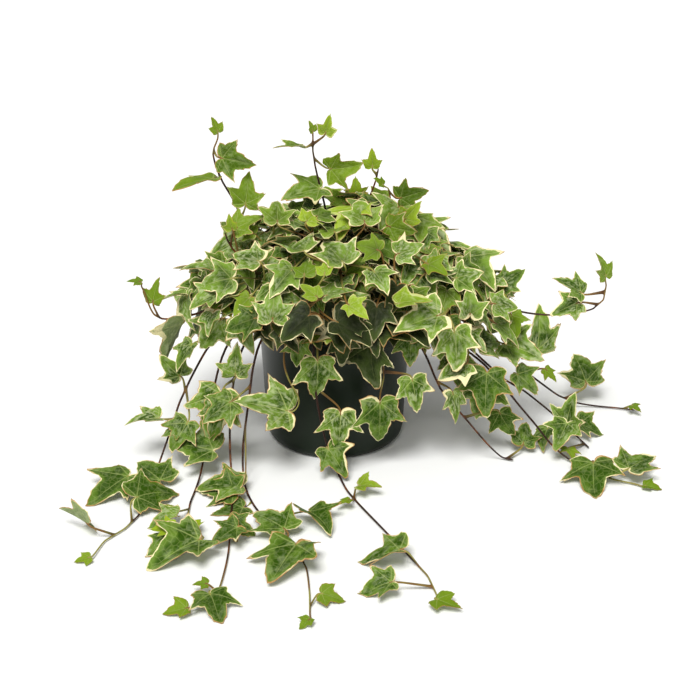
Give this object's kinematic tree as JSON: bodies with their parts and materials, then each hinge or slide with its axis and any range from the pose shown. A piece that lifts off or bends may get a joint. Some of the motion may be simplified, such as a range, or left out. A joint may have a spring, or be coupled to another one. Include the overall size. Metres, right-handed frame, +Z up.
{
  "type": "potted ivy",
  "caption": "Trailing ivy with lobed leaves on stems that stand in the soil of a round plastic pot.",
  "frame": {"origin": "middle of the pot's base, on the surface that the pot stands on", "axes": "+Z up, +X to the right and -Y to the front as the picture shows the plant"},
  "size_m": [0.4803, 0.4267, 0.2812],
  "materials": {
    "pot_plastic": "satin",
    "soil": "loose peat crumb",
    "ivy": "waxy leaf, green with a cream margin"
  },
  "bodies": {
    "root": {"pot": "pot_plastic", "potting_soil": "soil", "trailing_stem_front": "ivy", "hanging_stem_front_left": "ivy", "hanging_stem_front_right": "ivy", "trailing_stem_left_near": "ivy", "trailing_stem_left_inner": "ivy", "trailing_stem_left_middle": "ivy", "trailing_stem_left_outer": "ivy", "trailing_stem_right_near": "ivy", "trailing_stem_right_middle": "ivy", "trailing_stem_right_inner": "ivy", "trailing_stem_right_far": "ivy", "side_stem_left": "ivy", "side_stem_right": "ivy", "upright_shoot_left": "ivy", "upright_shoot_middle": "ivy", "upright_shoot_back": "ivy", "upright_shoot_right": "ivy", "upright_shoot_front_right": "ivy", "upright_shoot_front_left": "ivy", "crown_stem_01": "ivy", "crown_stem_02": "ivy", "crown_stem_03": "ivy", "crown_stem_04": "ivy", "crown_stem_05": "ivy", "crown_stem_06": "ivy", "crown_stem_07": "ivy", "crown_stem_08": "ivy", "crown_stem_09": "ivy", "crown_stem_10": "ivy", "crown_stem_11": "ivy", "crown_stem_12": "ivy", "crown_stem_13": "ivy", "crown_stem_14": "ivy", "crown_stem_15": "ivy", "crown_stem_16": "ivy", "crown_stem_17": "ivy", "crown_stem_18": "ivy", "crown_stem_19": "ivy", "crown_stem_20": "ivy", "crown_stem_21": "ivy", "crown_stem_22": "ivy"}
  },
  "joints": []
}
